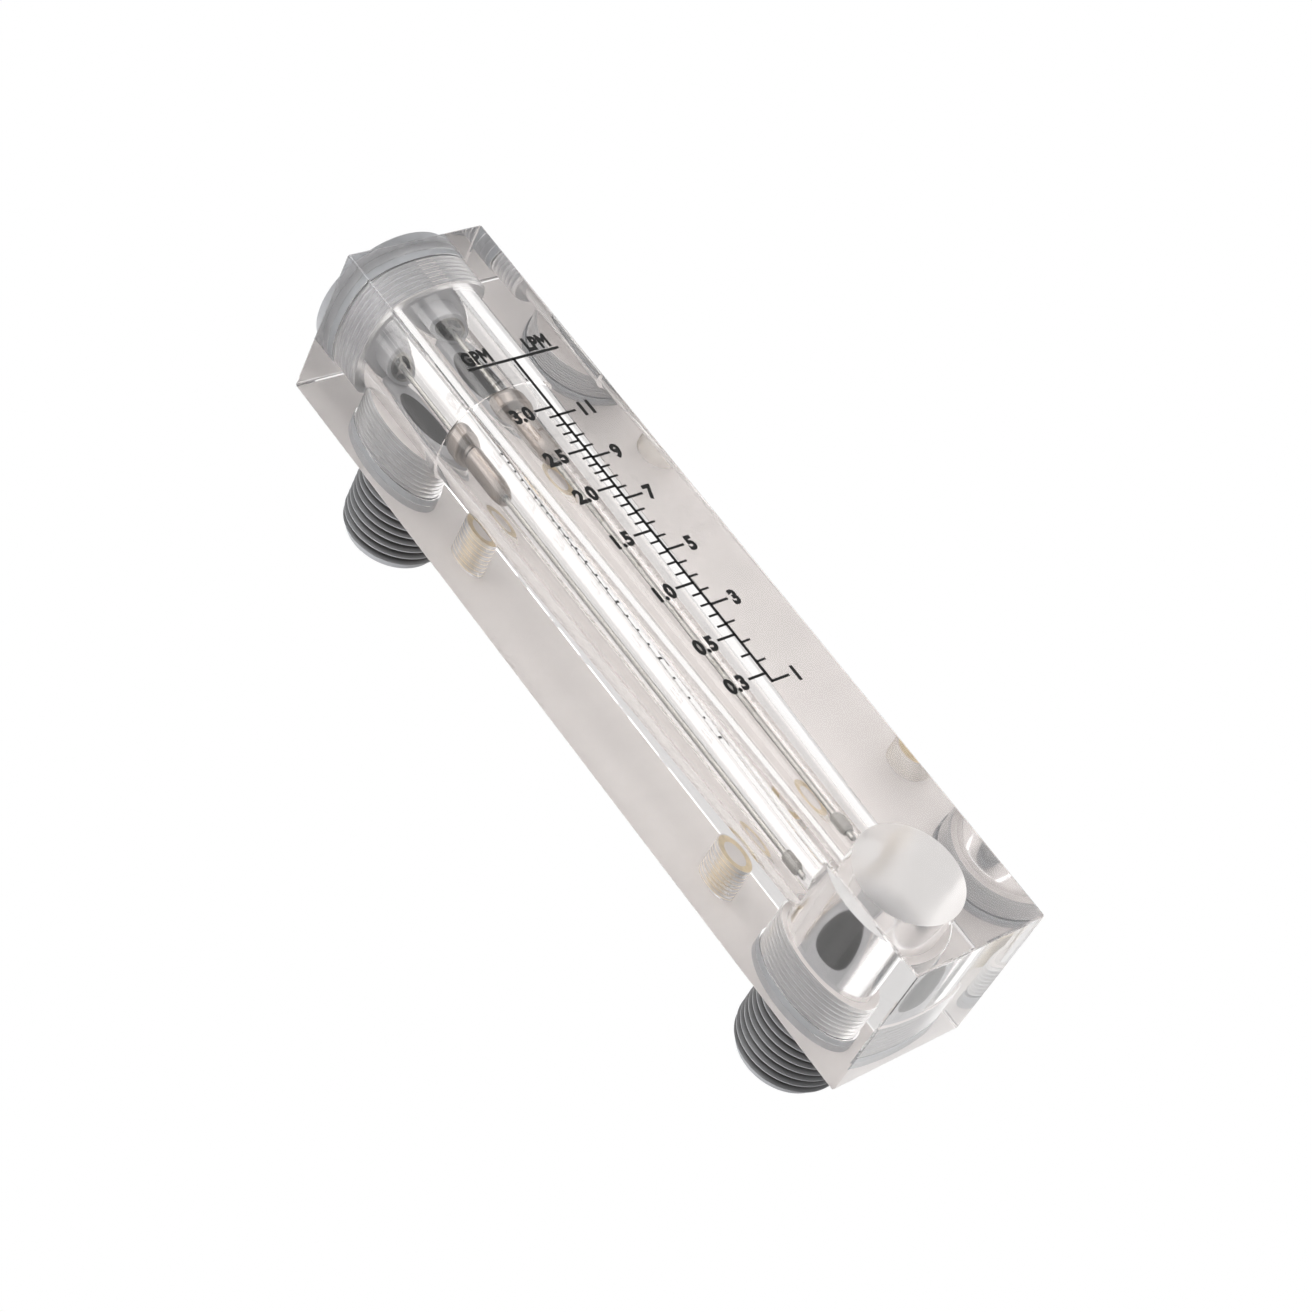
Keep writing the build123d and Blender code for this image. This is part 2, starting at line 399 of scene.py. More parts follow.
def make_milled_acrylic(colours):
    """Acrylic left as the mill cut it: it scatters light and reads as an even pale grey."""
    material, tree = new_material("milled_acrylic")
    marks = grain(tree, size=4.0, detail=1.0, stretch=(0.2, 1, 1))
    colour = shaded(tree, marks, linear(colours.milled_back), spread=0.02)
    return surfaced(
        material,
        {"Roughness": 0.8, "IOR": ACRYLIC_INDEX, "Specular IOR Level": 0.0,
         "Transmission Weight": 0.25},
        {"Base Color": (colour, 0)})


def satin_abs(material, colour):
    """Finishes a material as ABS with the fine satin skin of its mould."""
    tree = material.node_tree
    skin = bumped(tree, grain(tree, size=0.25), strength=0.25, depth=0.02)
    return surfaced(
        material, {"Roughness": 0.42, "IOR": ABS_INDEX},
        {"Base Color": (colour, 0), "Normal": (skin, 0)})


def make_grey_abs(colours):
    """Moulded ABS: an even mid grey with a satin skin and a faint flow mottle."""
    material, tree = new_material("moulded_grey_abs")
    return satin_abs(
        material, shaded(tree, grain(tree, size=3.0), linear(colours.grey_abs), spread=0.05))


def make_groove_shaded_abs(colours, height):
    """Pipe thread round an axis at a given height, with painted shade: plain grey crests and
    grooves painted dark.
    """
    material, tree = new_material("groove_shaded_thread_abs")
    place = add_node(tree, "ShaderNodeTexCoord")
    across = add_node(
        tree, "ShaderNodeMapping", {"Scale": (1, 0, 1), "Location": (0, 0, -height * MM)},
        {"Vector": (place, "Object")})
    radius = add_node(tree, "ShaderNodeVectorMath", links={0: (across, 0)}, operation="LENGTH")
    # Painted shade: the deeper a point lies under the crests, the darker it is, standing in for
    # shade in the grooves
    unshaded = add_node(
        tree, "ShaderNodeMapRange",
        {"From Min": (PIPE_RADIUS - SHADE_FULL_DEPTH) * MM,
         "From Max": (PIPE_RADIUS - SHADE_START_DEPTH) * MM},
        {"Value": (radius, "Value")})
    colour = add_node(tree, "ShaderNodeValToRGB", links={"Fac": (unshaded, "Result")})
    groove, crest = colour.color_ramp.elements
    groove.color, crest.color = linear(colours.groove_shade), linear(colours.grey_abs)
    return satin_abs(material, colour)


def make_silicone(colours):
    """Silicone rubber ring: pale blue grey with a soft shine."""
    material, tree = new_material("silicone_rubber")
    colour = shaded(tree, grain(tree, size=2.0), linear(colours.silicone), spread=0.04)
    return surfaced(material, {"Roughness": 0.5, "IOR": 1.41}, {"Base Color": (colour, 0)})


def make_drawn_steel(colours):
    """Drawn stainless wire: bright, with fine lines along its length."""
    material, tree = new_material("drawn_stainless_steel")
    lines = grain(tree, size=0.2, stretch=(1, 1, 0.03))
    colour = shaded(tree, lines, linear(colours.steel), spread=0.08)
    skin = bumped(tree, lines, strength=0.2, depth=0.01)
    return surfaced(
        material, {"Metallic": 1.0, "Roughness": 0.28},
        {"Base Color": (colour, 0), "Normal": (skin, 0)})


def make_turned_steel(colours):
    """Turned stainless float: rings left by the tool run round it, and the steel is a warm grey."""
    material, tree = new_material("turned_stainless_steel")
    place = add_node(tree, "ShaderNodeTexCoord")
    ring_spacing = 0.35
    rings = add_node(
        tree, "ShaderNodeTexWave",
        {"Scale": math.pi / (10 * ring_spacing * MM), "Distortion": 0.6, "Detail": 1.0},
        {"Vector": (place, "Object")}, bands_direction="Z")
    colour = shaded(tree, rings, linear(colours.float_steel), spread=0.12)
    skin = bumped(tree, rings, strength=0.35, depth=0.02)
    return surfaced(
        material, {"Metallic": 1.0, "Roughness": 0.42},
        {"Base Color": (colour, 0), "Normal": (skin, 0)})


def make_acetal(colours):
    """Turned acetal: waxy, light grey."""
    material, tree = new_material("turned_acetal")
    colour = shaded(tree, grain(tree, size=1.0), linear(colours.acetal), spread=0.04)
    return surfaced(material, {"Roughness": 0.4, "IOR": 1.48}, {"Base Color": (colour, 0)})


def make_brass(colours):
    """Turned brass, a little dulled by handling."""
    material, tree = new_material("turned_brass")
    tarnish = grain(tree, size=1.5)
    colour = shaded(tree, tarnish, linear(colours.brass), spread=0.12)
    skin = bumped(tree, tarnish, strength=0.1, depth=0.02)
    return surfaced(
        material, {"Metallic": 1.0, "Roughness": 0.5},
        {"Base Color": (colour, 0), "Normal": (skin, 0)})


def make_ink(colours):
    """Screen printing ink: near black, with a fine uneven gloss."""
    material, tree = new_material("screen_printing_ink")
    colour = shaded(tree, grain(tree, size=0.3), linear(colours.ink), spread=0.3)
    return surfaced(
        material, {"Roughness": 0.6, "Specular IOR Level": 0.25}, {"Base Color": (colour, 0)})


def profile(outline, ring=False):
    """Chain of edges through (radius, height) points. A ring closes."""
    shape = bmesh.new()
    points = [shape.verts.new((radius * MM, 0, height * MM)) for radius, height in outline]
    ends = points[1:] + points[:1] if ring else points[1:]
    for start, end in zip(points, ends):
        shape.edges.new((start, end))
    return shape


def spun(outline, steps=SMOOTH_STEPS, ring=False):
    """Solid of revolution about Z. Its outline starts and ends on the axis, or is a ring."""
    shape = profile(outline, ring)
    bmesh.ops.spin(
        shape, geom=shape.verts[:] + shape.edges[:], cent=(0, 0, 0), axis=UP, dvec=(0, 0, 0),
        angle=TURN, steps=steps, use_merge=True)
    bmesh.ops.remove_doubles(shape, verts=shape.verts, dist=MERGE * MM)
    bmesh.ops.recalc_face_normals(shape, faces=shape.faces)
    return shape


def rod(radius, low, high, steps=SMOOTH_STEPS):
    """Plain round bar along Z."""
    return spun([(0, low), (radius, low), (radius, high), (0, high)], steps)


def threaded_rod(crest, depth, pitch, low, high, steps=SMOOTH_STEPS):
    """Bar along Z with a right-handed vee thread, drawn too long and cut flat at both ends."""
    outline = []
    for turn in range(math.ceil((high - low) / pitch) + 2):
        base = low + (turn - 1) * pitch
        outline += [
            (crest - depth, base), (crest - depth, base + ROOT_FLAT * pitch),
            (crest, base + CREST_START * pitch),
            (crest, base + (CREST_START + CREST_FLAT) * pitch)]
    shape = profile(outline)
    bmesh.ops.spin(
        shape, geom=shape.verts[:] + shape.edges[:], cent=(0, 0, 0), axis=UP,
        dvec=(0, 0, pitch * MM / steps), angle=TURN, steps=steps)
    bmesh.ops.remove_doubles(shape, verts=shape.verts, dist=MERGE * MM)
    for height, outwards in ((low, -1), (high, 1)):
        bmesh.ops.bisect_plane(
            shape, geom=shape.verts[:] + shape.edges[:] + shape.faces[:], dist=MERGE * MM / 10,
            plane_co=(0, 0, height * MM), plane_no=(0, 0, outwards), clear_outer=True)
    rims = [edge for edge in shape.edges if edge.is_boundary]
    bmesh.ops.holes_fill(shape, edges=rims, sides=0)
    bmesh.ops.recalc_face_normals(shape, faces=shape.faces)
    return shape


def add_box(shape, middle, size):
    """Adds a plain box to a bmesh."""
    bmesh.ops.create_cube(
        shape, size=MM, matrix=Matrix.Translation(middle * MM) @ Matrix.Diagonal((*size, 1)))


def to_object(name, shape, materials, finish=0, place=None):
    """Turns a bmesh, moved to its place, into an object. finish is the index of its material."""
    if place is not None:
        bmesh.ops.transform(shape, matrix=place, verts=shape.verts)
    for face in shape.faces:
        face.material_index = finish
        face.smooth = True
    mesh = bpy.data.meshes.new(name)
    shape.to_mesh(mesh)
    shape.free()
    for material in materials:
        mesh.materials.append(material)
    made = bpy.data.objects.new(name, mesh)
    bpy.context.scene.collection.objects.link(made)
    return made


def combine(target, operation, *tools):
    """Applies a Boolean with each tool object to the target, in order, and removes the tools."""
    for tool in tools:
        modifier = target.modifiers.new("combine", "BOOLEAN")
        modifier.operation = operation
        modifier.solver = "EXACT"
        modifier.material_mode = "INDEX"
        modifier.object = tool
        bpy.context.view_layer.update()
        evaluated = target.evaluated_get(bpy.context.evaluated_depsgraph_get())
        mesh = bpy.data.meshes.new_from_object(evaluated)
        target.modifiers.clear()
        target.data = mesh
        bpy.data.objects.remove(tool)
    return target


def settle(piece, name, body, *nodes):
    """Smooths a finished piece, hangs it on its body and lets it stand for CAD nodes."""
    piece.name = name
    piece.data.name = name
    piece.data.shade_smooth()
    piece.data.set_sharp_from_angle(angle=SHARP_ANGLE)
    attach(piece, body)
    if nodes:
        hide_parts(*nodes)
    return piece


def facing_back(height):
    """Matrix that lays a shape drawn along Z into the back face, with Z=0 on it and +Z outwards."""
    return Matrix.Translation((0, BACK * MM, height * MM)) @ Matrix.Rotation(-TURN / 4, 4, "X")


def on_top():
    """Matrix that lays a shape drawn along Z on the block's top face."""
    return Matrix.Translation((0, 0, TOP * MM))


def measuring_bore():
    """Tapered bore with the upper chamber, as a solid to cut with."""
    chamber_top = TOP + PLUG_SCREW_END + UPPER_CHAMBER_OVERLAP
    return spun([
        (0, PORT_HEIGHTS["lower"]),
        (BORE_LOW_RADIUS, PORT_HEIGHTS["lower"]),
        (BORE_LOW_RADIUS, BORE_LOW_HEIGHT),
        (BORE_HIGH_RADIUS, BORE_HIGH_HEIGHT),
        (UPPER_CHAMBER_RADIUS, BORE_HIGH_HEIGHT),
        (UPPER_CHAMBER_RADIUS, chamber_top),
        (0, chamber_top),
    ])


def with_ends(tool, finish):
    """Gives the ends of a cutting tool that face the front or back a finish of their own."""
    for face in tool.data.polygons:
        if abs(face.normal.y) > FACING:
            face.material_index = finish
    return tool


def socket_tools(sizes, materials, screw_end, place):
    """Tapped hole and smooth collar seat of one screwed piece, as objects to cut with."""
    tap = threaded_rod(
        SCREW_RADIUS + SCREW_GAP, sizes.screw_depth / MM, sizes.screw_pitch / MM,
        screw_end - TAP_DEEPER, -COLLAR_LENGTH + TAP_OVERLAP)
    seat = rod(COLLAR_RADIUS - COLLAR_BITE, -COLLAR_LENGTH, OVERCUT)
    return [
        with_ends(to_object("tap", tap, materials, TAPPED, place), MILLED),
        to_object("collar_seat", seat, materials, POLISHED, place),
    ]


def make_body_block(context):
    """Polished acrylic block with every hole that shows through it."""
    sizes, colours = context.scene.rotameter_sizes, context.scene.rotameter_colours
    materials = [
        make_polished_acrylic(colours), make_cut_acrylic(colours), make_milled_acrylic(colours),
        make_bored_acrylic(colours)]
    shape = bmesh.new()
    low = BLOCK_LOW + Vector((0, INK_PROUD, 0))
    add_box(shape, (BLOCK_HIGH + low) / 2, BLOCK_HIGH - low)
    bmesh.ops.bevel(
        shape, geom=shape.edges[:], offset=BLOCK_EDGE * MM, segments=2, profile=0.5,
        affect="EDGES", material=-1)
    block = to_object("body", shape, materials)
    tools = [to_object("bore", measuring_bore(), materials)]
    tools += socket_tools(sizes, materials, PLUG_SCREW_END, on_top())
    for height in PORT_HEIGHTS.values():
        tools += socket_tools(sizes, materials, NOZZLE_END, facing_back(height))
    depth = BLOCK_HIGH.y - BLOCK_LOW.y - LOWER_CHAMBER_WALL
    chamber = rod(LOWER_CHAMBER_RADIUS, -depth, -COLLAR_LENGTH)
    place = facing_back(PORT_HEIGHTS["lower"])
    tools.append(with_ends(to_object("chamber", chamber, materials, BORED, place), TAPPED))
    for node in INSERTS:
        hole = rod(INSERT_RADIUS - PRESS, -INSERT_LENGTH + PRESS, OVERCUT, SMALL_STEPS)
        place = facing_back(cad_height(node))
        tools.append(with_ends(to_object("insert_hole", hole, materials, TAPPED, place), MILLED))
    combine(block, "DIFFERENCE", *tools)
    for face in block.data.polygons:
        if face.normal.y > FACING and face.center.y > (BACK - BLOCK_EDGE / 2) * MM:
            face.material_index = MILLED
    settle(block, "acrylic_block", "housing", "body_block")


def screw_shank(sizes, screw_end):
    """Fine screw of plug or nozzle, chamfered at its end."""
    depth = sizes.screw_depth / MM
    top = -COLLAR_LENGTH - SCREW_RELIEF
    thread = threaded_rod(SCREW_RADIUS, depth, sizes.screw_pitch / MM, screw_end, top)
    screw = to_object("screw", thread, [])
    envelope = spun([
        (0, screw_end), (SCREW_RADIUS - depth, screw_end),
        (SCREW_RADIUS + SCREW_RELIEF, screw_end + depth), (SCREW_RADIUS + SCREW_RELIEF, top),
        (0, top)])
    return combine(screw, "INTERSECT", to_object("envelope", envelope, []))


def screwed_outline(sizes, screw_end):
    """Outline of plug or nozzle from the core of its screw over the seal's groove to its collar."""
    core = SCREW_RADIUS - sizes.screw_depth / MM - SCREW_RELIEF
    return [
        (core, screw_end),
        (core, -COLLAR_LENGTH),
        (SEAL_INNER_RADIUS, -COLLAR_LENGTH),
        (SEAL_INNER_RADIUS, -COLLAR_LENGTH + SEAL_WIDTH),
        (COLLAR_RADIUS, -COLLAR_LENGTH + SEAL_WIDTH),
    ]


def make_nozzle(context, side, height, material):
    """One moulded nozzle: inner screw, collar, neck, pipe thread and tip."""
    sizes = context.scene.rotameter_sizes
    depth, pitch = sizes.pipe_depth / MM, sizes.pipe_pitch / MM
    root = PIPE_RADIUS - depth
    thread_end = NOZZLE_REACH - NOZZLE_TIP_LENGTH
    materials = [material, make_groove_shaded_abs(context.scene.rotameter_colours, height)]
    core = to_object("core", spun([
        (0, NOZZLE_END),
        *screwed_outline(sizes, NOZZLE_END),
        (COLLAR_RADIUS, 0),
        (NOZZLE_NECK_RADIUS, HAIR),
        (NOZZLE_NECK_RADIUS, NOZZLE_NECK_LENGTH),
        (root - HAIR, NOZZLE_NECK_LENGTH + NOZZLE_NECK_CONE),
        (root - HAIR, thread_end),
        (NOZZLE_TIP_RADIUS, thread_end + NOZZLE_TIP_CONE),
        (NOZZLE_TIP_RADIUS, NOZZLE_REACH - NOZZLE_CHAMFER),
        (NOZZLE_TIP_RADIUS - NOZZLE_CHAMFER, NOZZLE_REACH),
        (0, NOZZLE_REACH),
    ]), materials)
    thread = threaded_rod(PIPE_RADIUS, depth, pitch, NOZZLE_NECK_LENGTH, thread_end)
    # The pipe thread takes the material with painted shade in its grooves
    pipe = to_object("pipe", thread, materials, GROOVE_SHADED)
    envelope = spun([
        (0, NOZZLE_NECK_LENGTH), (root, NOZZLE_NECK_LENGTH),
        (PIPE_RADIUS, NOZZLE_NECK_LENGTH + depth), (PIPE_RADIUS, thread_end - depth),
        (root, thread_end), (0, thread_end)])
    combine(pipe, "INTERSECT", to_object("envelope", envelope, []))
    combine(core, "UNION", screw_shank(sizes, NOZZLE_END), pipe)
    # The passage is cut with the groove-shaded material. Its wall lies far under the crests, so the
    # bore inside the nozzle is painted dark as shade.
    passage = spun([
        (0, NOZZLE_END - OVERCUT), (NOZZLE_BORE_RADIUS, NOZZLE_END - OVERCUT),
        (NOZZLE_BORE_RADIUS, NOZZLE_REACH - NOZZLE_CHAMFER),
        (NOZZLE_BORE_RADIUS + 2 * NOZZLE_CHAMFER, NOZZLE_REACH + NOZZLE_CHAMFER),
        (0, NOZZLE_REACH + NOZZLE_CHAMFER)])
    combine(core, "DIFFERENCE", to_object("passage", passage, materials, GROOVE_SHADED))
    core.data.transform(facing_back(height))
    settle(core, f"{side}_pipe_nozzle", "housing", f"{side}_nozzle")


def driver_slot(material):
    """Milled slot with round ends, to cut into the plug's head."""
    shape = bmesh.new()
    bmesh.ops.create_circle(
        shape, cap_ends=True, radius=SLOT_WIDTH / 2 * MM, segments=SMALL_STEPS)
    floor = PLUG_HEAD_HEIGHT - SLOT_DEPTH
    for side in (-1, 1):
        half = [v for v in shape.verts if v.co.x * side > MERGE * MM]
        bmesh.ops.translate(
            shape, vec=(side * (SLOT_LENGTH - SLOT_WIDTH) / 2 * MM, 0, 0), verts=half)
    bmesh.ops.translate(shape, vec=(0, 0, floor * MM), verts=shape.verts)
    grown = bmesh.ops.extrude_face_region(shape, geom=shape.faces[:])["geom"]
    lifted = [v for v in grown if isinstance(v, bmesh.types.BMVert)]
    bmesh.ops.translate(shape, vec=(0, 0, (SLOT_DEPTH + OVERCUT) * MM), verts=lifted)
    bmesh.ops.recalc_face_normals(shape, faces=shape.faces)
    return to_object("slot", shape, [material])


def make_top_plug(context, material):
    """Round plug: slotted head, collar, fine screw, and a boss with the spider's seat."""
    sizes = context.scene.rotameter_sizes
    seat = PLUG_MOUTH + SPIDER_THICKNESS
    plug = to_object("plug", spun([
        (0, PLUG_MOUTH),
        (PLUG_BOSS_RADIUS - PLUG_EDGE, PLUG_MOUTH),
        (PLUG_BOSS_RADIUS, PLUG_MOUTH + PLUG_EDGE),
        (PLUG_BOSS_RADIUS, PLUG_SCREW_END),
        *screwed_outline(sizes, PLUG_SCREW_END),
        (COLLAR_RADIUS, HAIR),
        (PLUG_HEAD_RADIUS - PLUG_EDGE, HAIR),
        (PLUG_HEAD_RADIUS, PLUG_EDGE),
        (PLUG_HEAD_RADIUS, PLUG_HEAD_HEIGHT - PLUG_HEAD_BEVEL),
        (PLUG_HEAD_RADIUS - PLUG_HEAD_BEVEL, PLUG_HEAD_HEIGHT),
        (0, PLUG_HEAD_HEIGHT),
    ]), [material])
    combine(plug, "UNION", screw_shank(sizes, PLUG_SCREW_END))
    cavity = spun([
        (0, PLUG_MOUTH - OVERCUT), (SPIDER_SEAT_RADIUS, PLUG_MOUTH - OVERCUT),
        (SPIDER_SEAT_RADIUS, seat), (PLUG_CAVITY_RADIUS, seat),
        (PLUG_CAVITY_RADIUS, seat + PLUG_CAVITY_DEPTH), (0, seat + PLUG_CAVITY_DEPTH)])
    combine(plug, "DIFFERENCE", to_object("cavity", cavity, [material]), driver_slot(material))
    plug.data.transform(on_top())
    settle(plug, "slotted_top_plug", "housing", "top_plug")


def make_sealing_rings(context):
    """Silicone rings, squeezed flat between the screwed pieces and the acrylic."""
    material = make_silicone(context.scene.rotameter_colours)
    soft = SEAL_ROUNDING
    low = -COLLAR_LENGTH + HAIR / 2
    high = low + SEAL_WIDTH - HAIR
    outline = [
        (SEAL_INNER_RADIUS + SEAL_CLEARANCE, low + soft), (SEAL_INNER_RADIUS + soft, low),
        (COLLAR_RADIUS - soft, low), (COLLAR_RADIUS, low + soft),
        (COLLAR_RADIUS, high - soft), (COLLAR_RADIUS - soft, high),
        (SEAL_INNER_RADIUS + soft, high), (SEAL_INNER_RADIUS + SEAL_CLEARANCE, high - soft)]
    places = {"top_plug": on_top()}
    places |= {f"{side}_nozzle": facing_back(height) for side, height in PORT_HEIGHTS.items()}
    for owner, place in places.items():
        ring = to_object("ring", spun(outline, ring=True), [material], 0, place)
        settle(ring, f"{owner}_sealing_ring", "housing", f"{owner}_seal")


def make_rod_group(context):
    """Guide rod, its stop bead and the spider that holds it."""
    colours = context.scene.rotameter_colours
    steel = make_drawn_steel(colours)
    radius, low, high = ROD_HIGH.x, ROD_LOW.z, ROD_HIGH.z
    wire = spun([
        (0, low), (radius - ROD_BEVEL, low), (radius, low + ROD_BEVEL),
        (radius, high - ROD_BEVEL), (radius - ROD_BEVEL, high), (0, high)], SMALL_STEPS)
    settle(to_object("wire", wire, [steel]), "steel_guide_rod", "housing", "guide_rod")
    outer, hole, rounding = BEAD_HIGH.x, radius + HAIR, BEAD_ROUNDING
    low, high = BEAD_LOW.z, BEAD_HIGH.z
    outline = [(hole, low), (outer - rounding, low)]
    outline += [
        (outer - rounding + rounding * math.sin(a), low + rounding - rounding * math.cos(a))
        for a in ARC[:-1]]
    outline += [(outer, low + rounding), (outer, high - rounding)]
    outline += [
        (outer - rounding + rounding * math.cos(a), high - rounding + rounding * math.sin(a))
        for a in ARC[:-1]]
    outline += [(outer - rounding, high), (hole, high)]
    bead = to_object("bead", spun(outline, SMALL_STEPS, ring=True), [make_acetal(colours)])
    settle(bead, "rod_bead", "housing", "rod_stop_bead")
    spider = frame["nodes"]["rod_spider"]
    spider.data.materials.clear()
    spider.data.materials.append(steel)


def make_float(context):
    """Turned float: blunt nose, body, waist, reading collar and domed crown."""
    material = make_turned_steel(context.scene.rotameter_colours)
    bore, nose, body, waist = ROD_HIGH.x + FLOAT_GAP, 2.4, 4.1, 3.3
    collar, crown = FLOAT_HIGH.x, 2.6
    tip = FLOAT_LOW.z
    nose_top = tip + 3.2
    body_top = nose_top + 6.6
    waist_top = body_top + 1.2
    collar_low = waist_top + 0.7
    collar_top = collar_low + 2.4
    crown_top = FLOAT_HIGH.z
    body_edge, waist_cone, collar_edge, flare, flare_height = 0.15, 0.6, 0.2, 0.25, 0.05
    shoulder = collar - collar_edge
    outline = [(bore, tip), (nose, tip)]
    outline += [
        (nose + (body - nose) * math.sin(a), nose_top - (nose_top - tip) * math.cos(a))
        for a in ARC]
    outline += [
        (body, body_top - body_edge), (body - body_edge, body_top),
        (waist, body_top + waist_cone), (waist, waist_top),
        (collar - flare, collar_low - flare_height), (collar, collar_low + collar_edge),
        (collar, collar_top - collar_edge), (shoulder, collar_top)]
    outline += [
        (crown + (shoulder - crown) * math.cos(a),
         collar_top + (crown_top - collar_top) * math.sin(a))
        for a in ARC]
    outline += [(bore, crown_top)]
    piece = to_object("float_turning", spun(outline, ring=True), [material])
    settle(piece, "turned_float", "float", "float")


def make_panel_inserts(context):
    """Self-tapping brass inserts, with a thread outside and a metric one inside."""
    material = make_brass(context.scene.rotameter_colours)
    depth = INSERT_SCREW_RADIUS - INSERT_SCREW_ROOT
    for node in INSERTS:
        sleeve = threaded_rod(
            INSERT_RADIUS, INSERT_RIDGE, INSERT_PITCH, -INSERT_LENGTH, 0, SMALL_STEPS)
        core = to_object("sleeve", sleeve, [material])
        tap = threaded_rod(
            INSERT_SCREW_RADIUS, depth, INSERT_PITCH, -INSERT_LENGTH - OVERCUT, OVERCUT,
            SMALL_STEPS)
        mouth = spun([
            (0, -INSERT_MOUTH_DEPTH), (INSERT_SCREW_ROOT, -INSERT_MOUTH_DEPTH),
            (INSERT_SCREW_RADIUS + INSERT_MOUTH_RISE, INSERT_MOUTH_RISE),
            (0, INSERT_MOUTH_RISE)], SMALL_STEPS)
        combine(
            core, "DIFFERENCE", to_object("tap", tap, [material]),
            to_object("mouth", mouth, [material]))
        core.data.transform(facing_back(cad_height(node)))
        settle(core, f"threaded_{node}", "housing", node)


def printed_bar(shape, x_low, x_high, z_low, z_high):
    """Adds one thin printed rectangle, set into the front face."""
    middle = ((x_low + x_high) / 2, FRONT + INK_THICKNESS / 2, (z_low + z_high) / 2)
    add_box(shape, Vector(middle), Vector((x_high - x_low, INK_THICKNESS, z_high - z_low)))


def small_mark_heights(marks, step):
    """Heights of the unnumbered marks between the numbered ones."""
    heights = []
    for (upper, upper_height), (lower, lower_height) in zip(marks, marks[1:]):
        count = round((float(upper) - float(lower)) / step)
        heights += [
            upper_height + (lower_height - upper_height) * i / count for i in range(1, count)]
    return heights


def printed_text(shape, words, x, z, height, align, width=LETTER_WIDTH):
    """Adds printed characters whose lower edge is at height z. width narrows them."""
    curve = bpy.data.curves.new("characters", "FONT")
    curve.body = words
    curve.align_x = align
    curve.size = height * MM / LETTER_CAP_SHARE
    curve.bevel_depth = LETTER_GROWTH * MM
    curve.bevel_resolution = 0
    curve.space_character = LETTER_SPACING
    letters = bpy.data.objects.new("characters", curve)
    bpy.context.scene.collection.objects.link(letters)
    bpy.context.view_layer.update()
    evaluated = letters.evaluated_get(bpy.context.evaluated_depsgraph_get())
    mesh = bpy.data.meshes.new_from_object(evaluated)
    place = Matrix.Translation((x * MM, (FRONT + INK_THICKNESS / 2) * MM, z * MM))
    flatten = Matrix.Diagonal((width, 1, INK_THICKNESS / 2 / LETTER_GROWTH, 1))
    mesh.transform(place @ Matrix.Rotation(TURN / 4, 4, "X") @ flatten)
    shape.from_mesh(mesh)
    bpy.data.objects.remove(letters)


def make_printed_scale(context):
    """Ink of the scale: header line, upright line, marks, numbers and the two units."""
    sizes = context.scene.rotameter_sizes
    heavy, light = sizes.heavy_line / MM, sizes.light_line / MM
    digit = sizes.digit_height / MM
    middle = (heavy + light) / 2
    shape = bmesh.new()
    printed_bar(shape, HEADER_LEFT, HEADER_RIGHT, SCALE_TOP - heavy / 2, SCALE_TOP + heavy / 2)
    bottom = RIGHT_MARKS[-1][1] - middle / 2
    printed_bar(shape, SCALE_LINE_X - heavy / 2, SCALE_LINE_X + heavy / 2, bottom, SCALE_TOP)
    columns = ((LEFT_MARKS, LEFT_STEP, -1, "RIGHT"), (RIGHT_MARKS, RIGHT_STEP, 1, "LEFT"))
    for marks, step, side, align in columns:
        rows = [(height, MARK_LENGTH, middle) for _, height in marks]
        rows += [(height, SMALL_MARK_LENGTH, light) for height in small_mark_heights(marks, step)]
        for height, length, width in rows:
            ends = sorted((SCALE_LINE_X, SCALE_LINE_X + side * length))
            printed_bar(shape, *ends, height - width / 2, height + width / 2)
        for words, height in marks:
            x = SCALE_LINE_X + side * (MARK_LENGTH + LABEL_GAP)
            printed_text(shape, words, x, height - digit / 2, digit, align)
    for words, x in UNITS:
        printed_text(shape, words, x, SCALE_TOP + UNIT_LIFT, digit, "CENTER", UNIT_WIDTH)
    bmesh.ops.remove_doubles(shape, verts=shape.verts, dist=MERGE * MM)
    bmesh.ops.recalc_face_normals(shape, faces=shape.faces)
    ink = to_object("ink", shape, [make_ink(context.scene.rotameter_colours)])
    settle(ink, "printed_scale", "housing")


def calculated(tree, operation, first, second):
    """Math node over two (node, output) pairs."""
    return add_node(tree, "ShaderNodeMath", links={0: first, 1: second}, operation=operation)


def soft_patch(tree, direction, rim, heart, outside, inside):
    """Value of a world that goes softly from outside to inside a patch round a direction."""
    place = add_node(tree, "ShaderNodeTexCoord")
    towards = add_node(
        tree, "ShaderNodeVectorMath", {1: Vector(direction).normalized()},
        {0: (place, "Generated")}, operation="DOT_PRODUCT")
    return add_node(
        tree, "ShaderNodeMapRange",
        {"From Min": rim, "From Max": heart, "To Min": outside, "To Max": inside},
        {"Value": (towards, "Value")}, interpolation_type="SMOOTHSTEP")


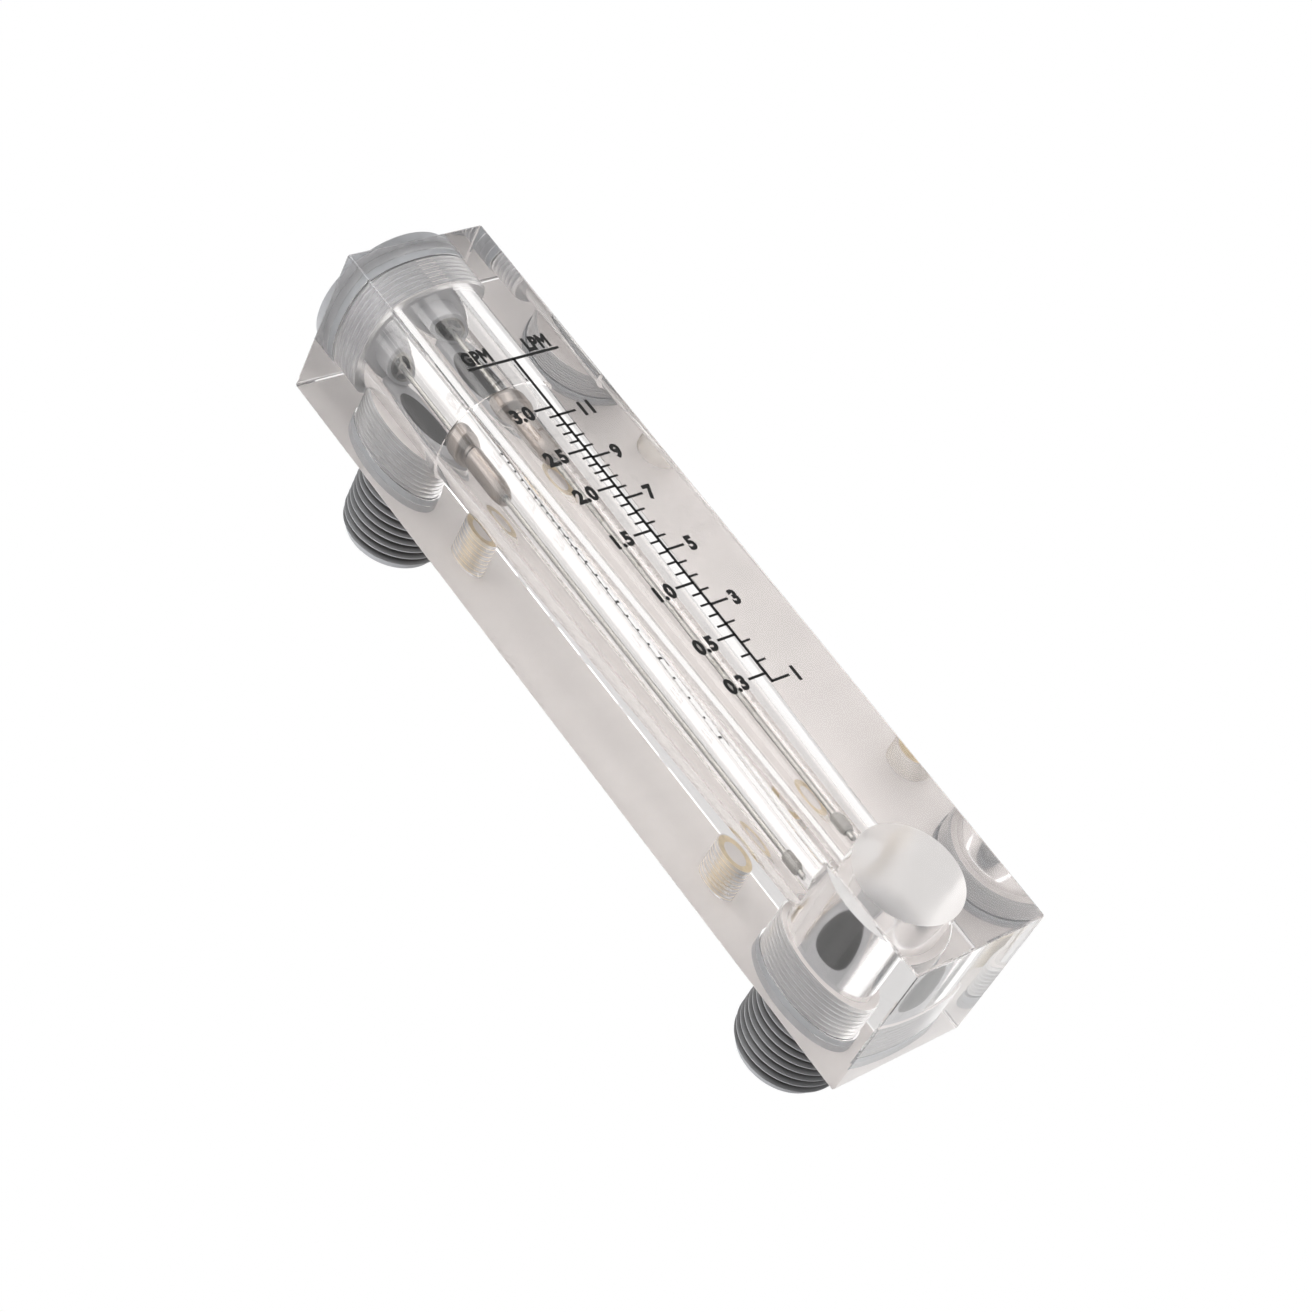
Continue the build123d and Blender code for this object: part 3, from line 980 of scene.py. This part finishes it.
def make_world(context):
    """White where the camera sees it, and a dim grey as light.

    Glass and metal see a pale studio, with a grey card behind the meter and a bright pane in front.
    """
    world = bpy.data.worlds.new("studio")
    context.scene.world = world
    world.use_nodes = True
    tree = world.node_tree
    tree.nodes.clear()
    studio = soft_patch(tree, CARD_DIRECTION, CARD_RIM, CARD_HEART, STUDIO_WHITE, CARD_GREY)
    pane = soft_patch(tree, PANE_DIRECTION, PANE_RIM, PANE_HEART, 0.0, PANE_WHITE)
    walls = calculated(tree, "ADD", (studio, "Result"), (pane, "Result"))
    path = add_node(tree, "ShaderNodeLightPath")
    seen = calculated(tree, "MAXIMUM", (path, "Is Glossy Ray"), (path, "Is Transmission Ray"))
    shiny = add_node(
        tree, "ShaderNodeMix", {"A": LIGHTING_GREY}, {"Factor": (seen, 0), "B": (walls, 0)},
        data_type="FLOAT")
    strength = calculated(tree, "MAXIMUM", (shiny, "Result"), (path, "Is Camera Ray"))
    light = add_node(
        tree, "ShaderNodeBackground", {"Color": (1, 1, 1, 1)}, {"Strength": (strength, 0)})
    add_node(tree, "ShaderNodeOutputWorld", links={"Surface": (light, 0)})


def make_floor():
    """Pale floor that keeps the shadow and can't be seen from below."""
    shape = bmesh.new()
    bmesh.ops.create_grid(shape, x_segments=1, y_segments=1, size=FLOOR_SIZE / 2 * MM)
    material, tree = new_material("pale_studio_floor")
    matt = add_node(
        tree, "ShaderNodeBsdfDiffuse", {"Color": (FLOOR_GREY, FLOOR_GREY, FLOOR_GREY, 1)})
    path = add_node(tree, "ShaderNodeLightPath")
    shiny = calculated(tree, "MAXIMUM", (path, "Is Camera Ray"), (path, "Is Glossy Ray"))
    seen = calculated(tree, "MAXIMUM", (shiny, 0), (path, "Is Transmission Ray"))
    white = add_node(
        tree, "ShaderNodeEmission", {"Color": (1, 1, 1, 1)}, {"Strength": (seen, 0)})
    lit = add_node(tree, "ShaderNodeAddShader", links={0: (matt, 0), 1: (white, 0)})
    clear = add_node(tree, "ShaderNodeBsdfTransparent")
    side = add_node(tree, "ShaderNodeNewGeometry")
    both = add_node(
        tree, "ShaderNodeMixShader",
        links={"Fac": (side, "Backfacing"), 1: (lit, 0), 2: (clear, 0)})
    finished(material, both)
    place = Matrix.Translation((0, 0, -FLOOR_GAP * MM))
    floor = to_object("floor", shape, [material], 0, place)


def aim(thing, target):
    """Turns a lamp or camera towards a target, given in millimetres."""
    direction = target * MM - thing.location
    thing.rotation_mode = "QUATERNION"
    thing.rotation_quaternion = direction.to_track_quat("-Z", "Y")


def make_lamps(context):
    """Large soft lamps round the meter, for plastic and metal. Glass and mirrors don't see them."""
    middle = (BLOCK_LOW + BLOCK_HIGH) / 2
    for name, (place, size, power) in LAMPS.items():
        lamp = bpy.data.lights.new(name, "AREA")
        lamp.shape = "SQUARE"
        lamp.size = size * MM
        lamp.energy = power
        made = bpy.data.objects.new(name, lamp)
        made.location = Vector(place) * MM
        made.visible_camera = made.visible_glossy = made.visible_transmission = False
        context.scene.collection.objects.link(made)
        aim(made, middle)


def make_camera(context):
    """Camera at the photograph's place: below the base, left of the front face, and rolled."""
    lens = bpy.data.cameras.new("camera")
    lens.lens = CAMERA_LENS
    lens.clip_start = CAMERA_NEAR * MM
    camera = bpy.data.objects.new("camera", lens)
    camera.location = CAMERA_PLACE * MM
    context.scene.collection.objects.link(camera)
    aim(camera, CAMERA_AIM)
    roll = Quaternion(UP, math.radians(CAMERA_ROLL))
    camera.rotation_quaternion = camera.rotation_quaternion @ roll
    context.scene.camera = camera


class BuildStudio(bpy.types.Operator):
    """Sets up the floor, the lamps, the world and the camera."""

    bl_idname = "rotameter.build_studio"
    bl_label = "Studio"

    def execute(self, context):
        make_world(context)
        make_floor()
        make_lamps(context)
        make_camera(context)
        context.scene.view_settings.view_transform = "Standard"
        context.scene.cycles.max_bounces = 32
        context.scene.cycles.transmission_bounces = 32
        context.scene.cycles.glossy_bounces = 16
        context.scene.cycles.diffuse_bounces = 16
        return {"FINISHED"}


class BuildBlock(bpy.types.Operator):
    """Models the clear acrylic block with its bores and tapped sockets."""

    bl_idname = "rotameter.build_block"
    bl_label = "Acrylic block"

    def execute(self, context):
        make_body_block(context)
        return {"FINISHED"}


class BuildScale(bpy.types.Operator):
    """Prints the scale on the front face."""

    bl_idname = "rotameter.build_scale"
    bl_label = "Printed scale"

    def execute(self, context):
        make_printed_scale(context)
        return {"FINISHED"}


class BuildPlastics(bpy.types.Operator):
    """Models both pipe nozzles and the top plug in grey ABS."""

    bl_idname = "rotameter.build_plastics"
    bl_label = "Nozzles and plug"

    def execute(self, context):
        material = make_grey_abs(context.scene.rotameter_colours)
        for side, height in PORT_HEIGHTS.items():
            make_nozzle(context, side, height, material)
        make_top_plug(context, material)
        return {"FINISHED"}


class BuildSeals(bpy.types.Operator):
    """Models the sealing rings, squeezed in place."""

    bl_idname = "rotameter.build_seals"
    bl_label = "Sealing rings"

    def execute(self, context):
        make_sealing_rings(context)
        return {"FINISHED"}


class BuildRod(bpy.types.Operator):
    """Models the guide rod and bead, and finishes the spider."""

    bl_idname = "rotameter.build_rod"
    bl_label = "Guide rod"

    def execute(self, context):
        make_rod_group(context)
        return {"FINISHED"}


class BuildFloat(bpy.types.Operator):
    """Models the turned float."""

    bl_idname = "rotameter.build_float"
    bl_label = "Float"

    def execute(self, context):
        make_float(context)
        return {"FINISHED"}


class BuildInserts(bpy.types.Operator):
    """Models the brass inserts in the back face."""

    bl_idname = "rotameter.build_inserts"
    bl_label = "Panel inserts"

    def execute(self, context):
        make_panel_inserts(context)
        return {"FINISHED"}


STEPS = (
    BuildStudio, BuildBlock, BuildScale, BuildPlastics, BuildSeals, BuildRod, BuildFloat,
    BuildInserts)


class RotameterPanel(bpy.types.Panel):
    """Lists the building steps with their sizes and colours."""

    bl_idname = "VIEW3D_PT_rotameter"
    bl_label = "Rotameter"
    bl_space_type = "VIEW_3D"
    bl_region_type = "UI"
    bl_category = "Rotameter"

    def draw(self, context):
        for group in (context.scene.rotameter_sizes, context.scene.rotameter_colours):
            for name in group.__annotations__:
                self.layout.prop(group, name)
        for step in STEPS:
            self.layout.operator(step.bl_idname)


CLASSES = (RotameterSizes, RotameterColours, *STEPS, RotameterPanel)


def register():
    for each in CLASSES:
        bpy.utils.register_class(each)
    bpy.types.Scene.rotameter_sizes = bpy.props.PointerProperty(type=RotameterSizes)
    bpy.types.Scene.rotameter_colours = bpy.props.PointerProperty(type=RotameterColours)


def unregister():
    del bpy.types.Scene.rotameter_colours
    del bpy.types.Scene.rotameter_sizes
    for each in reversed(CLASSES):
        bpy.utils.unregister_class(each)


def main():
    register()
    for step in STEPS:
        group, name = step.bl_idname.split(".")
        getattr(getattr(bpy.ops, group), name)()


if __name__ == "__main__":
    main()
